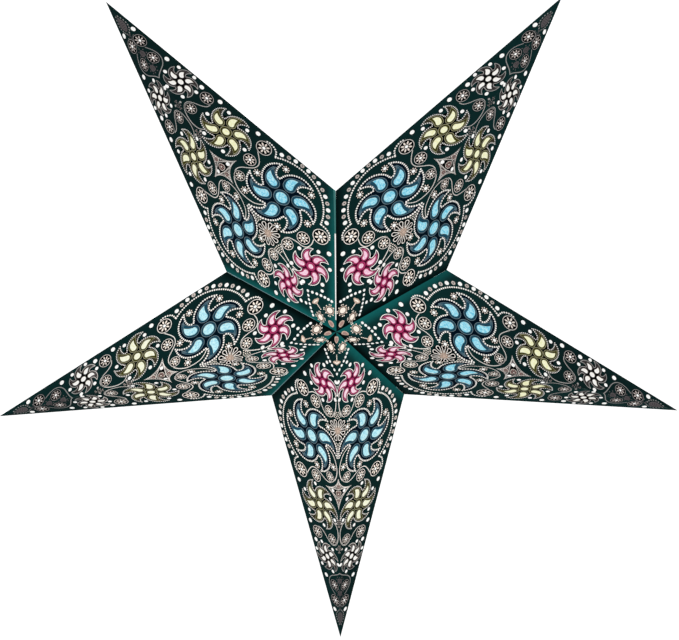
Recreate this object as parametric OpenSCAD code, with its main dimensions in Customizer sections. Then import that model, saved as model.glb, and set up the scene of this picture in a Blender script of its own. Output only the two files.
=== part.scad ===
// Hanging star of folded paper. Five hollow points, each one printed sheet
// folded round its tip and open at the middle, are glued side by side by flaps
// turned in along the valleys. Flowers are pierced through every face, and
// strips of coloured tissue are pasted behind them.
// The star hangs with one point down and faces -Y. Its middle is the origin.

/* [Star] */
// Reach of the points, from the middle of the star to a tip
tip_reach = 300; // [270:1:340]
// Reach of the inner corners between two points
corner_reach = 94.5; // [88:0.5:104]
// Height of the front and back peaks over the mid plane
peak_height = 89; // [76:1:104]

/* [Sheet] */
// Thickness of the printed sheet
sheet_t = 0.4; // [0.25:0.05:0.8]
// Width of the glue flaps turned in along the valleys
flap_w = 9; // [6:0.5:12]
// Length of valley left bare at both ends of a flap
flap_clear = 16; // [12:1:24]
// Film of paste between two neighbouring points
seam_film = 0.1; // [0.06:0.02:0.3]

/* [Tissue] */
// Thickness of the coloured tissue
tissue_t = 0.15; // [0.1:0.05:0.3]
// Film of paste between a sheet and its tissue
tissue_film = 0.05; // [0.04:0.02:0.2]
// Width of tissue pasted down past the pierced flower
tissue_lap = 3.5; // [2:0.5:5]
// Clear space between the tissue and the glue flaps
tissue_clear = 2; // [1:0.5:4]

/* [Flowers] */
// Petals of each flower
petal_n = 6; // [5:1:8]
// Lean of a petal's end past its root, in degrees
petal_lean = 15; // [0:1:30]
// Start of a petal, as a share of the flower's reach
petal_root = 0.38; // [0.32:0.01:0.45]
// Widest place of a petal, as a share of the flower's reach
petal_belly = 0.55; // [0.5:0.01:0.65]
// Half width of a petal there, as a share of the flower's reach
petal_half = 0.18; // [0.1:0.01:0.2]
// Radius of the eye, as a share of the flower's reach
eye_share = 0.22; // [0.12:0.01:0.26]
// Corners of the eye
eye_corners = 4; // [4:1:8]

/* [Pink flower] */
// Place along the ridge, from the peak
pink_along = 53; // [50:0.5:56]
// Place across the face, from the ridge
pink_across = 16; // [15:0.5:18]
// Reach of the pierced petals
pink_reach = 13; // [10:0.5:14]
// Turn of the first petal from the ridge line, in degrees
pink_turn = 17; // [-30:1:30]

/* [Blue flower] */
// Clear space between its tissue and the pink tissue, along the point
blue_gap = 8.3; // [4:0.1:14]
// Place across the face, from the ridge
blue_across = 32.4; // [30:0.2:36]
// Reach of the pierced petals
blue_reach = 25.5; // [20:0.5:27]
// Turn of the first petal from the ridge line, in degrees
blue_turn = 7; // [-30:1:30]

/* [Yellow flower] */
// Clear space between its tissue and the blue tissue, along the point
yellow_gap = 15.9; // [8:0.1:22]
// Place across the face, from the ridge
yellow_across = 24.3; // [22:0.1:26]
// Reach of the pierced petals
yellow_reach = 18; // [14:0.5:19]
// Turn of the first petal from the ridge line, in degrees
yellow_turn = 2; // [-30:1:30]

/* [White flower] */
// Clear space between its tissue and the yellow tissue, along the point
white_gap = 15.4; // [8:0.1:22]
// Place across the face, from the ridge
white_across = 15.5; // [14.5:0.1:17]
// Reach of the pierced petals
white_reach = 11.5; // [9:0.5:12.5]
// Turn of the first petal from the ridge line, in degrees
white_turn = -17; // [-30:1:30]

/* [Hidden] */
point_n = 5;
half_turn = 180 / point_n;
cut_over = 1;

// One point is drawn standing up along +Z and then turned into place about Y.
upper_right_turn = half_turn;
lower_right_turn = 3 * half_turn;
lower_turn = 5 * half_turn;
lower_left_turn = 7 * half_turn;
upper_left_turn = 9 * half_turn;

// Corners of the right half of the front of that point, and the face's own directions
peak = [0, -peak_height, 0];
tip = [0, 0, tip_reach];
corner = corner_reach * [sin(half_turn), 0, cos(half_turn)];
ridge_dir = unit(tip - peak);
across_dir = unit((corner - peak) - ((corner - peak) * ridge_dir) * ridge_dir);
inward_dir = cross(ridge_dir, across_dir);

// A layer parallel to the four faces is the same pyramid, lowered along the point
drop_per_depth = 1 / -inward_dir[2];
side_slope = corner[0] / (tip_reach - corner[2]);
peak_slope = peak_height / tip_reach;

tissue_depth = sheet_t + tissue_film;
valley_dir = unit([corner_reach, peak_height]);
valley_length = norm([corner_reach, peak_height]);

// Each flower is set out from the one before it, so that no strip of tissue meets the next
pink_level = level_of(pink_along, pink_across);
blue_level = pink_level + strip_half(pink_reach) + blue_gap + strip_half(blue_reach);
yellow_level = blue_level + strip_half(blue_reach) + yellow_gap + strip_half(yellow_reach);
white_level = yellow_level + strip_half(yellow_reach) + white_gap + strip_half(white_reach);
blue_along = along_of(blue_level, blue_across);
yellow_along = along_of(yellow_level, yellow_across);
white_along = along_of(white_level, white_across);

function unit(v) = v / norm(v);

function polar(r, a) = r * [cos(a), sin(a)];

// Corners down one side of a petal: share of the reach, and half width as a share of it.
// The big flower's petals start blunt, the others in a point.
big_petal = [[petal_root, petal_half / 2], [petal_belly, petal_half], [1, 0]];
small_petal = [[petal_root, 0], [petal_belly, petal_half], [1, 0]];

// Outline of one petal about the flower's middle, its end bent round by the lean
function petal_outline(petal, reach, first) = let (
    there = [for (c = petal) petal_corner(c, reach, first, 1)],
    back = [for (i = [len(petal) - 1 : -1 : 0]) if (petal[i][1] > 0) petal_corner(petal[i], reach, first, -1)]
) concat(there, back);

function petal_corner(c, reach, first, side) = let (
    bend = (c[0] - petal_root) / (1 - petal_root),
    a = first + petal_lean * bend * bend
) reach * (polar(c[0], a) + side * c[1] * [-sin(a), cos(a)]);

// Level of a place on the face, measured along the point
function level_of(along, across) = along * ridge_dir[2] + across * across_dir[2];

function along_of(level, across) = (level - across * across_dir[2]) / ridge_dir[2];

// Half the width of the strip of tissue that covers a flower, measured along the point
function strip_half(reach) = (reach + tissue_lap) * norm([ridge_dir[2], across_dir[2]]);

module set_on(origin, x, y, z) {
    multmatrix([
        [x[0], y[0], z[0], origin[0]],
        [x[1], y[1], z[1], origin[1]],
        [x[2], y[2], z[2], origin[2]],
        [0, 0, 0, 1]
    ]) children();
}

// Four faces of a point, lowered to a depth below the printed side and closed at the foot
module pyramid(depth, foot) {
    top = tip_reach - depth * drop_per_depth;
    x = (top - foot) * side_slope;
    y = (top - foot) * peak_slope;
    polyhedron(
        points = [[x, 0, foot], [0, y, foot], [-x, 0, foot], [0, -y, foot], [0, 0, top]],
        faces = [[0, 1, 2, 3], [1, 0, 4], [2, 1, 4], [3, 2, 4], [0, 3, 4]]
    );
}

// Even layer of paper under the printed side
module layer(depth, thickness) {
    difference() {
        pyramid(depth, -10);
        pyramid(depth + thickness, -20);
    }
}

// One fifth of the turn, kept back from the planes that neighbouring points share
module fifth(back) {
    start = back / sin(half_turn);
    reach = 2 * tip_reach;
    rotate([90, 0, 0])
        linear_extrude(height = 3 * peak_height, center = true)
            polygon([
                [0, start],
                [reach * sin(half_turn), start + reach * cos(half_turn)],
                [-reach * sin(half_turn), start + reach * cos(half_turn)]
            ]);
}

// Glue flap along one valley, in the plane shared with the next point
module flap() {
    outer_a = [0, -peak_height] + flap_clear * valley_dir;
    outer_b = [0, -peak_height] + (valley_length - flap_clear) * valley_dir;
    slant = flap_w * [-valley_dir[1], valley_dir[0]];
    set_on([0, 0, 0], [sin(half_turn), 0, cos(half_turn)], [0, 1, 0], [-cos(half_turn), 0, sin(half_turn)])
        translate([0, 0, -cut_over])
            linear_extrude(height = cut_over + seam_film / 2 + sheet_t)
                polygon([
                    outer_a,
                    outer_b,
                    outer_b + slant - flap_w * valley_dir,
                    outer_a + slant + flap_w * valley_dir
                ]);
}

// Openings of one flower, through the face it is drawn on
module flower(petal, along, across, reach, turn) {
    set_on(peak, ridge_dir, across_dir, inward_dir)
        translate([along, across, -cut_over])
            linear_extrude(height = sheet_t + 2 * cut_over) {
                for (i = [0 : petal_n - 1])
                    polygon(petal_outline(petal, reach, turn + i * 360 / petal_n));
                circle(r = eye_share * reach, $fn = eye_corners);
            }
}

module flowers() {
    flower(small_petal, pink_along, pink_across, pink_reach, pink_turn);
    flower(big_petal, blue_along, blue_across, blue_reach, blue_turn);
    flower(small_petal, yellow_along, yellow_across, yellow_reach, yellow_turn);
    flower(small_petal, white_along, white_across, white_reach, white_turn);
}

// The same thing on all four faces of a point
module on_four_faces() {
    for (x = [0, 1])
        for (y = [0, 1])
            mirror([x, 0, 0])
                mirror([0, y, 0])
                    children();
}

module sheet(turn) {
    color("darkslategray")
        rotate([0, turn, 0])
            difference() {
                intersection() {
                    union() {
                        layer(0, sheet_t);
                        on_four_faces() flap();
                    }
                    fifth(seam_film / 2);
                }
                on_four_faces() flowers();
            }
}

// Strip of tissue folded round the inside of a point, behind one flower of each face
module tissue(turn, paint, along, across, reach) {
    half = strip_half(reach);
    level = level_of(along, across) + tissue_depth * inward_dir[2];
    side = 2 * tip_reach;
    color(paint)
        rotate([0, turn, 0])
            intersection() {
                layer(tissue_depth, tissue_t);
                fifth(seam_film / 2 + sheet_t + tissue_clear);
                translate([-side / 2, -side / 2, level - half])
                    cube([side, side, 2 * half]);
            }
}

module pink_tissue(turn) {
    tissue(turn, "hotpink", pink_along, pink_across, pink_reach);
}

module blue_tissue(turn) {
    tissue(turn, "deepskyblue", blue_along, blue_across, blue_reach);
}

module yellow_tissue(turn) {
    tissue(turn, "khaki", yellow_along, yellow_across, yellow_reach);
}

module white_tissue(turn) {
    tissue(turn, "white", white_along, white_across, white_reach);
}

module upper_left_sheet() { sheet(upper_left_turn); }
module upper_right_sheet() { sheet(upper_right_turn); }
module lower_right_sheet() { sheet(lower_right_turn); }
module lower_sheet() { sheet(lower_turn); }
module lower_left_sheet() { sheet(lower_left_turn); }

module upper_left_pink_tissue() { pink_tissue(upper_left_turn); }
module upper_left_blue_tissue() { blue_tissue(upper_left_turn); }
module upper_left_yellow_tissue() { yellow_tissue(upper_left_turn); }
module upper_left_white_tissue() { white_tissue(upper_left_turn); }

module upper_right_pink_tissue() { pink_tissue(upper_right_turn); }
module upper_right_blue_tissue() { blue_tissue(upper_right_turn); }
module upper_right_yellow_tissue() { yellow_tissue(upper_right_turn); }
module upper_right_white_tissue() { white_tissue(upper_right_turn); }

module lower_right_pink_tissue() { pink_tissue(lower_right_turn); }
module lower_right_blue_tissue() { blue_tissue(lower_right_turn); }
module lower_right_yellow_tissue() { yellow_tissue(lower_right_turn); }
module lower_right_white_tissue() { white_tissue(lower_right_turn); }

module lower_pink_tissue() { pink_tissue(lower_turn); }
module lower_blue_tissue() { blue_tissue(lower_turn); }
module lower_yellow_tissue() { yellow_tissue(lower_turn); }
module lower_white_tissue() { white_tissue(lower_turn); }

module lower_left_pink_tissue() { pink_tissue(lower_left_turn); }
module lower_left_blue_tissue() { blue_tissue(lower_left_turn); }
module lower_left_yellow_tissue() { yellow_tissue(lower_left_turn); }
module lower_left_white_tissue() { white_tissue(lower_left_turn); }

upper_left_sheet();
upper_right_sheet();
lower_right_sheet();
lower_sheet();
lower_left_sheet();
upper_left_pink_tissue();
upper_left_blue_tissue();
upper_left_yellow_tissue();
upper_left_white_tissue();
upper_right_pink_tissue();
upper_right_blue_tissue();
upper_right_yellow_tissue();
upper_right_white_tissue();
lower_right_pink_tissue();
lower_right_blue_tissue();
lower_right_yellow_tissue();
lower_right_white_tissue();
lower_pink_tissue();
lower_blue_tissue();
lower_yellow_tissue();
lower_white_tissue();
lower_left_pink_tissue();
lower_left_blue_tissue();
lower_left_yellow_tissue();
lower_left_white_tissue();
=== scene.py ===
import math
import bpy
import numpy as np
from mathutils import Euler, Matrix, Vector
from mathutils.geometry import delaunay_2d_cdt


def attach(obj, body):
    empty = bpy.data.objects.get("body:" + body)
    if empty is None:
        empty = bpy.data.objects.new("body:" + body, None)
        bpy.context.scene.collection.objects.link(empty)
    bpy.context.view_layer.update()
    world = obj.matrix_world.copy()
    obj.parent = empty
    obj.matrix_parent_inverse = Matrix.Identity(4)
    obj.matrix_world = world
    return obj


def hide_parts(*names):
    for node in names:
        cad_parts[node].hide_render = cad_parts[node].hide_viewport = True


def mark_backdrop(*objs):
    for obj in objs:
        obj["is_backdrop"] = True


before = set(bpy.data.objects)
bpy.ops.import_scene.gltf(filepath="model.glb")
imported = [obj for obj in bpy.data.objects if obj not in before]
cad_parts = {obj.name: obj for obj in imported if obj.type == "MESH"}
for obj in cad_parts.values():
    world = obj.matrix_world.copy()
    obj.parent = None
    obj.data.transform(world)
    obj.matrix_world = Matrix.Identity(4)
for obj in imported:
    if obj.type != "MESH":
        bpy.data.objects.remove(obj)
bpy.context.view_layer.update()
print("frame loaded,", len(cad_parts), "nodes")

mm = 0.001

# sizes of the star in mm, as cut and folded
star = {
    "tipReach": 300.0,
    "cornerReach": 94.5,
    "peakHeight": 89.0,
    "sheetThickness": 0.4,
    "seamFilm": 0.1,
    "flapWidth": 9.0,
    "flapClear": 16.0,
    "flapTuck": 0.6,
    "halfTurn": 36,  # degrees, half of one point's share of the turn
}
# turn of each point about the middle, in degrees
pointTurns = {"upper_left": 324, "upper_right": 36, "lower_right": 108, "lower": 180, "lower_left": 252}
# how close counts as the same place, in mm: on a fold, cutting the print, cutting the back, along a line
close = {"fold": 1e-3, "print": 1e-4, "back": 1e-6, "line": 1e-9}

halfTurn = math.radians(star["halfTurn"])
peak = Vector((0, -star["peakHeight"], 0))
tip = Vector((0, 0, star["tipReach"]))
radial = Vector((math.sin(halfTurn), 0, math.cos(halfTurn)))
corner = star["cornerReach"] * radial
awayFromSeam = Vector((-math.cos(halfTurn), 0, math.sin(halfTurn)))
ridgeDir = (tip - peak).normalized()
acrossDir = ((corner - peak) - (corner - peak).dot(ridgeDir) * ridgeDir).normalized()
inwardDir = ridgeDir.cross(acrossDir)


def faceUv(p):
    return ((p - peak).dot(ridgeDir), (p - peak).dot(acrossDir))


# flat outline of a half face: peak end of the ridge, tip, inner corner, kept half a paste film off the seam
film = star["seamFilm"] / 2
ridgeStart = peak + ridgeDir * (film / ridgeDir.dot(awayFromSeam))
edgeDir = (tip - corner).normalized()
cornerStart = corner + edgeDir * (film / edgeDir.dot(awayFromSeam))
startUv, tipUv, cornerUv = faceUv(ridgeStart), faceUv(tip), faceUv(cornerStart)
edgeNormal = Vector((tipUv[0] - cornerUv[0], tipUv[1] - cornerUv[1])).normalized()
edgeNormal = Vector((edgeNormal.y, -edgeNormal.x))


def edgeDistance(u, v):
    return abs((u - tipUv[0]) * edgeNormal.x + (v - tipUv[1]) * edgeNormal.y)


valleyWay = Vector((cornerUv[0] - startUv[0], cornerUv[1] - startUv[1])).normalized()
valleySide = Vector((valleyWay.y, -valleyWay.x))


def valleyDistance(u, v):
    return (u - startUv[0]) * valleySide.x + (v - startUv[1]) * valleySide.y


# drawing tools for the print, all in mm on the flat half face: u along the ridge, v across it
artwork = []


def paint(ink, *shapes):
    for shape in shapes:
        artwork.append((ink, shape))


def polar(at, r, degrees):
    a = math.radians(degrees)
    return (at[0] + r * math.cos(a), at[1] + r * math.sin(a))


def disc(at, r, sides=8):
    return [polar(at, r, 360 * i / sides) for i in range(sides)]


def oval(at, half, wide, degrees=0.0, sides=10):
    a = math.radians(degrees)
    shape = []
    for i in range(sides):
        t = 2 * math.pi * i / sides
        x, y = half * math.cos(t), wide * math.sin(t)
        shape.append((at[0] + x * math.cos(a) - y * math.sin(a), at[1] + x * math.sin(a) + y * math.cos(a)))
    return shape


# even steps along a line of points
def evenSteps(points, gap):
    p = np.array(points, float)
    run = np.concatenate([[0], np.cumsum(np.linalg.norm(np.diff(p, axis=0), axis=1))])
    count = max(1, round(run[-1] / gap))
    at = np.linspace(0, run[-1], count + 1)
    return [(float(np.interp(a, run, p[:, 0])), float(np.interp(a, run, p[:, 1]))) for a in at]


# smooth line through given points
def flowing(points, fine=8):
    p = [np.array(q, float) for q in [points[0]] + points + [points[-1]]]
    line = []
    for i in range(1, len(p) - 2):
        for j in range(fine):
            t = j / fine
            a, b, c, d = p[i - 1], p[i], p[i + 1], p[i + 2]
            q = 0.5 * (2 * b + (c - a) * t + (2 * a - 5 * b + 4 * c - d) * t * t
                       + (3 * b - a - 3 * c + d) * t ** 3)
            line.append((float(q[0]), float(q[1])))
    return line + [tuple(points[-1])]


# the way to the left of a line, at each of its points
def leftOf(p):
    way = np.gradient(p, axis=0)
    way /= np.maximum(np.linalg.norm(way, axis=1, keepdims=True), close["line"])
    return np.stack([-way[:, 1], way[:, 0]], axis=1)


def stroke(points, width):
    p = np.array(points, float)
    side = leftOf(p) * width / 2
    return [tuple(map(float, q)) for q in np.concatenate([p + side, (p - side)[::-1]])]


# the same line moved over to its left
def inset(points, distance):
    p = np.array(points, float)
    return [tuple(map(float, q)) for q in p + distance * leftOf(p)]


def beads(ink, points, r, gap, sides=6):
    paint(ink, *[disc(at, r, sides) for at in evenSteps(points, gap)])


def ring(ink, inside, at, r, width, sides=20):
    paint(ink, disc(at, r, sides))
    paint(inside, disc(at, r - width, sides))


# ring of eight small ovals that point outwards
def ovalRing(ink, at, reach, half, wide, turn=0, sides=6):
    for k in range(8):
        way = 45 * k + turn
        paint(ink, oval(polar(at, reach, way), half, wide, way, sides))


def bend(a, b, c, d, fine):
    line = []
    for i in range(fine):
        t = i / fine
        w = ((1 - t) ** 3, 3 * t * (1 - t) ** 2, 3 * t * t * (1 - t), t ** 3)
        line.append(tuple(w[0] * a[k] + w[1] * b[k] + w[2] * c[k] + w[3] * d[k] for k in (0, 1)))
    return line


# turns and places a small drawing
def placed(points, at, turn, size=1.0):
    c, s = math.cos(math.radians(turn)) * size, math.sin(math.radians(turn)) * size
    return [(at[0] + x * c - y * s, at[1] + x * s + y * c) for x, y in points]


# comma-shaped petal: a round head, a swelling back and a hollow front, drawn out to a leaning tail.
# The belly, swell and hollow are shares of the reach, the handles shares of the length past the belly
comma = {"belly": 0.576, "swell": 0.055, "hollow": 0.06, "backHandle": 0.44, "backTail": (0.61, 71),
         "frontHandle": 0.38, "frontTail": (0.25, 9), "fine": 8}


def petalShape(cut, half, end, lean):
    fine = comma["fine"]
    belly = comma["belly"] * cut
    long = end - belly
    tail = polar((0, 0), end, lean)
    backLong, backTurn = comma["backTail"]
    frontLong, frontTurn = comma["frontTail"]
    head = [polar((belly, 0), half, 90 + 180 * i / fine) for i in range(fine)]
    back = bend((belly, -half), (belly + comma["backHandle"] * long, -half - comma["swell"] * cut),
                polar(tail, -backLong * long, lean + backTurn), tail, fine)
    front = bend(tail, polar(tail, -frontLong * long, lean + frontTurn),
                 (belly + comma["frontHandle"] * long, half - comma["hollow"] * cut), (belly, half), fine)
    return head + back + front


# one hook of the border round a whirling flower, in shares of its reach: from the tip back along its hollow,
# then out to the next tip
hook = {"hollow": ((1, 0), (0.82, -0.19), (0.53, -0.21), (0.552, -0.029)),
        "back": ((0.552, -0.029), (0.8, 0.12), (0.92, 0.62), (0.5, 0.866)), "fine": 12}
sixTurns = [60 * k for k in range(6)]


def hookedBorder(f):
    line = bend(*hook["hollow"], hook["fine"]) + bend(*hook["back"], hook["fine"]) + [hook["back"][-1]]
    return [placed(line, f["at"], f["hooks"] + turn, f["border"]) for turn in sixTurns]


def hookedShape(f):
    return [p for line in hookedBorder(f) for p in line[:-1]]


# whirling flowers: place, turn of petals and hooks, reach of the border and of the pierced petals, half
# width and lean of a petal, radius of the eye; layers of petals from the outside in, and the pierced ones:
# extra half width, tail and lean; spots round the border: reach, turn, radius
flowers = {
    "pink": {
        "at": (53.0, 16.4), "turn": 15, "hooks": 47.8, "border": 16.7, "cut": 12.7, "half": 1.9,
        "lean": 13, "eye": 2.15, "heart": 3.9, "backing": 0.72, "line": 0.58, "innerLine": (1.25, 0.38),
        "layers": [("magenta", 1.0, 2.6, 7)], "pierced": (0.0, 0.9, 3), "spots": (16.7, 3.5, 1.75)},
    "blue": {
        "at": (112.0, 32.5), "turn": 8.3, "hooks": 39.5, "border": 31.8, "cut": 24.7, "half": 3.55,
        "lean": 8.2, "eye": 5.0, "heart": 6.4, "rim": (7.15, 0.5), "beads": (0.84, 2.2, 8),
        "layers": [("blueLine", 2.3, 3.9, 9.5), ("navy", 1.85, 3.3, 8.5), ("blueDeep", 1.6, 3.0, 7.5)],
        "tails": ((25.2, 9.5), (26.6, 14), (28.0, 20)), "tailLeans": (0, 3.5), "tailLine": 0.4,
        "florets": ((-57, 31.5), (-13, 26.8), (47, 28.5), (107, 28.5), (167, 28.5), (227, 28.5))},
    "yellow": {
        "at": (178.4, 24.4), "turn": 4.6, "hooks": 37.5, "border": 22.6, "cut": 17.1, "half": 2.45,
        "lean": 8, "eye": 3.1, "heart": 4.4, "rim": (5.2, 0.5), "backing": 0.7, "innerBacking": 0.55,
        "beads": (0.58, 1.75, 6),
        "layers": [("black", 2.35, 4.4, 8.5), ("olive", 1.85, 3.8, 7.5), ("black", 1.4, 3.0, 6.5),
                   ("oliveDeep", 1.2, 2.6, 6)],
        "pierced": (0.22, 0.5), "spots": (19.8, -15, 1.75)},
    "white": {
        "at": (229.8, 15.7), "turn": -18, "hooks": 15.6, "border": 14.4, "cut": 11.0, "half": 2.0,
        "lean": 9.5, "eye": 2.45, "rim": 0.5, "backing": 0.72, "line": 0.62, "innerLine": (1.2, 0.35),
        "layers": [("mauveDeep", 0.6, 1.4, 5)], "spots": (14.1, -30, 1.7)},
}


def petals(f, grow=0.0, tail=0.0, extraLean=0.0):
    shape = petalShape(f["cut"], f["half"] + grow, f["cut"] + tail, f["lean"] + extraLean)
    return [placed(shape, f["at"], f["turn"] + turn) for turn in sixTurns]


def petalLayers(f):
    for ink, *extra in f["layers"]:
        paint(ink, *petals(f, *extra))


# border as a pale line with a finer one inside it
def linedBorder(f, ink, innerInk):
    away, fine = f["innerLine"]
    for line in hookedBorder(f):
        paint(ink, stroke(line, f["line"]))
        paint(innerInk, stroke(inset(line, away)[2:-3], fine))


def beadedBorder(f):
    for line in hookedBorder(f):
        beads("bead", line, *f["beads"])


# white spots with a dark edge
spotEdge = 0.6


def spots(places, r):
    for at in places:
        paint("black", disc(at, r + spotEdge, 10))
        paint("dot", disc(at, r, 10))


def spotsAround(f):
    reach, first, r = f["spots"]
    spots([polar(f["at"], reach, first + turn) for turn in sixTurns], r)


# small florets, in shares of their radius
floretShape = {"radius": 3.3, "backing": 1.15, "petals": (0.8, 0.24, 0.17), "eye": 0.47}


def floret(at):
    r = floretShape["radius"]
    paint("black", disc(at, floretShape["backing"] * r, 16))
    ovalRing("petal", at, *[share * r for share in floretShape["petals"]])
    paint("dot", disc(at, floretShape["eye"] * r, 8))


def drawPink(f):
    paint("black", disc(f["at"], f["backing"] * f["border"], 24))
    paint("magentaDeep", hookedShape(f))
    linedBorder(f, "pinkLine", "magentaPale")
    petalLayers(f)
    paint("magenta", disc(f["at"], f["heart"], 20))
    paint("open", disc(f["at"], f["eye"], 16), *petals(f, *f["pierced"]))
    spotsAround(f)


def drawBlue(f):
    paint("navy", hookedShape(f))
    beadedBorder(f)
    petalLayers(f)
    for turn in sixTurns:
        for lean in f["tailLeans"]:
            tail = [polar(f["at"], r, f["turn"] + turn + (a + lean)) for r, a in f["tails"]]
            paint("blueLine", stroke(tail, f["tailLine"]))
    ring("blueLine", "navy", f["at"], *f["rim"], 24)
    paint("blueDeep", disc(f["at"], f["heart"], 24))
    paint("open", disc(f["at"], f["eye"], 24), *petals(f))
    for degrees, r in f["florets"]:
        floret(polar(f["at"], r, degrees))


def drawYellow(f):
    paint("black", disc(f["at"], f["backing"] * f["border"], 24))
    paint("oliveDim", hookedShape(f))
    paint("black", disc(f["at"], f["innerBacking"] * f["border"], 24))
    petalLayers(f)
    beadedBorder(f)
    ring("olive", "black", f["at"], *f["rim"], 20)
    paint("oliveDeep", disc(f["at"], f["heart"], 20))
    paint("open", disc(f["at"], f["eye"], 18), *petals(f, *f["pierced"]))
    spotsAround(f)


def drawWhite(f):
    paint("black", disc(f["at"], f["backing"] * f["border"], 24), hookedShape(f))
    linedBorder(f, "line", "mauve")
    petalLayers(f)
    ring("mauveDeep", "open", f["at"], f["eye"] + f["rim"], f["rim"], 16)
    paint("open", *petals(f))
    spotsAround(f)


# rosettes: place and radius; their parts in shares of the radius, drawn finer towards the tip
rosettes = [
    (76.7, 10.0, 5.1), (75.5, 26.7, 5.7), (70.3, 42.2, 7.1), (141.3, 10.0, 4.7), (150.1, 28.0, 5.6),
    (154.6, 47.2, 7.0), (206.3, 8.6, 5.1), (210.0, 28.1, 5.9), (256.1, 6.8, 5.2), (273.2, 5.7, 5.8),
]
rosetteShape = {"edge": 0.5, "slim": 0.108, "finer": 0.096, "finerPast": 180, "rim": 0.8, "petalReach": 0.52,
                "petalHalf": 0.25, "petalWide": 1.08, "turn": 22, "eye": 0.22}


def rosette(at, r):
    s = rosetteShape
    slim = s["slim"] if at[0] < s["finerPast"] else s["finer"]
    paint("black", disc(at, r + s["edge"], 24))
    ring("line", "black", at, r, s["rim"] * slim * r, 24)
    ovalRing("petal", at, s["petalReach"] * r, s["petalHalf"] * r, s["petalWide"] * slim * r, s["turn"], 8)
    paint("dot", disc(at, s["eye"] * r, 8))


# thin beaded scrolls between the flowers; stem, bead and gap in shares of the width
scrolls = [
    [(55, 3), (60, 1.7), (66, 1.7), (74, 3), (79.5, 5.8), (81.9, 10), (80.6, 15), (75.5, 18.9),
     (70, 21.4), (67.7, 25), (68.2, 30), (71, 34.8)],
    [(112.4, 15), (113.8, 10.7), (117.2, 6.1), (123.5, 2.9), (130.8, 1.5), (138.2, 2.9), (143.9, 6.3),
     (147.3, 11.2), (147.2, 16.2), (144.6, 21.8), (142.6, 27.3), (143.6, 32.6), (147.6, 36.3),
     (155.5, 40.6)],
    [(186.3, 8.1), (188.4, 4), (193.3, 1.6), (199.4, 1.2), (205.8, 2.3), (210.7, 5.2), (212.4, 9.4),
     (210, 14), (205.8, 18.5), (203.4, 22.6), (203.4, 26.4)],
    [(237.9, -0.5), (241.6, 2.6), (245, 6.8), (248.5, 11), (253, 13.5), (258, 13.4), (262.6, 10.6),
     (266.2, 6.4)],
]
scrollLine = {"width": 1.05, "stem": 0.5, "bead": 0.48, "gap": 1.3}


def scroll(points):
    line, width = flowing(points), scrollLine["width"]
    paint("line", stroke(line, width * scrollLine["stem"]))
    beads("line", line, scrollLine["bead"] * width, scrollLine["gap"] * width)


# round the peak: a bud on the ridge, a jewel in a ring of beads, a crown and a row of dots
peakPrint = {
    "bud": (7.2, 0), "budTan": (3.1, 2.4), "budRose": (2.2, 1.5),
    "jewel": (16.4, 6.6), "jewelRim": (3.75, 0.6), "jewelHeart": 2.55,
    "bead": 0.56, "beadReach": (4.4, 5.0, 5.0), "beadLean": (0, 7, -7),
    "crown": [(20.8, -1), (20.8, 0.2), (25.8, 0.5), (26.6, 2.4), (28.2, 4.5), (29.2, 4.1), (29.6, -1)],
    "crownHeart": ((27.9, 0.9), 0.6, 1.9), "crownBeads": ([(20.6, 0), (25.0, 0)], 0.55, 1.5),
    "dots": 7, "dotsFrom": (21.6, 13.4), "dotsRun": 16, "dotsSwell": 1.3, "dot": 1.25,
    "lastDot": ((32.2, 11.6), 1.45), "ridgeBeads": ([(44, 0), (49, 0)], 0.6, 2.2),
}


def drawPeak():
    p = peakPrint
    paint("tan", oval(p["bud"], *p["budTan"]))
    paint("rose", oval(p["bud"], *p["budRose"]))
    ring("tan", "black", p["jewel"], *p["jewelRim"])
    paint("petal", disc(p["jewel"], p["jewelHeart"], 14))
    for k in range(12):
        turn = 30 * k + p["beadLean"][k % 3]
        paint("petal", disc(polar(p["jewel"], p["beadReach"][k % 3], turn), p["bead"], 6))
    paint("tan", p["crown"])
    paint("petal", oval(*p["crownHeart"]))
    beads("petal", *p["crownBeads"])
    u, v = p["dotsFrom"]
    for i in range(p["dots"]):
        t = i / (p["dots"] - 1)
        at = (u + p["dotsRun"] * t, v * (1 - t) + p["dotsSwell"] * math.sin(math.pi * t))
        paint("dot", disc(at, p["dot"], 8))
    paint("dot", disc(*p["lastDot"], 10))
    beads("line", *p["ridgeBeads"])


# daisy on the ridge: loops as start, end and half width, rays and cuts as reaches and width of line, and the
# heaps of beads to both sides
daisy = {
    "at": (91.0, 0), "backing": 11.0, "loops": 10, "loop": (2.6, 10.5, 1.95), "hollow": (4.3, 9.85, 1.3),
    "heart": 3.3, "rays": ((2.6, 3.6, 5.2), 0.4), "cuts": ((1.3, 2.2, 3.4), 0.3),
    "heap": ((0.0, 2.0, 4.0), (1.0, 3.0), (0.0, 2.0), (1.0,)), "heapAt": 12.2, "heapStep": 1.8, "bead": 0.58,
}


# loop of a daisy: drawn out of a point into a round end
def tear(at, turn, start, end, half, fine=12):
    belly = end - half
    line = [(start, 0.0)] + [polar((belly, 0), half, -105 + 210 * i / fine) for i in range(fine + 1)]
    return placed(line, at, turn)


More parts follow.
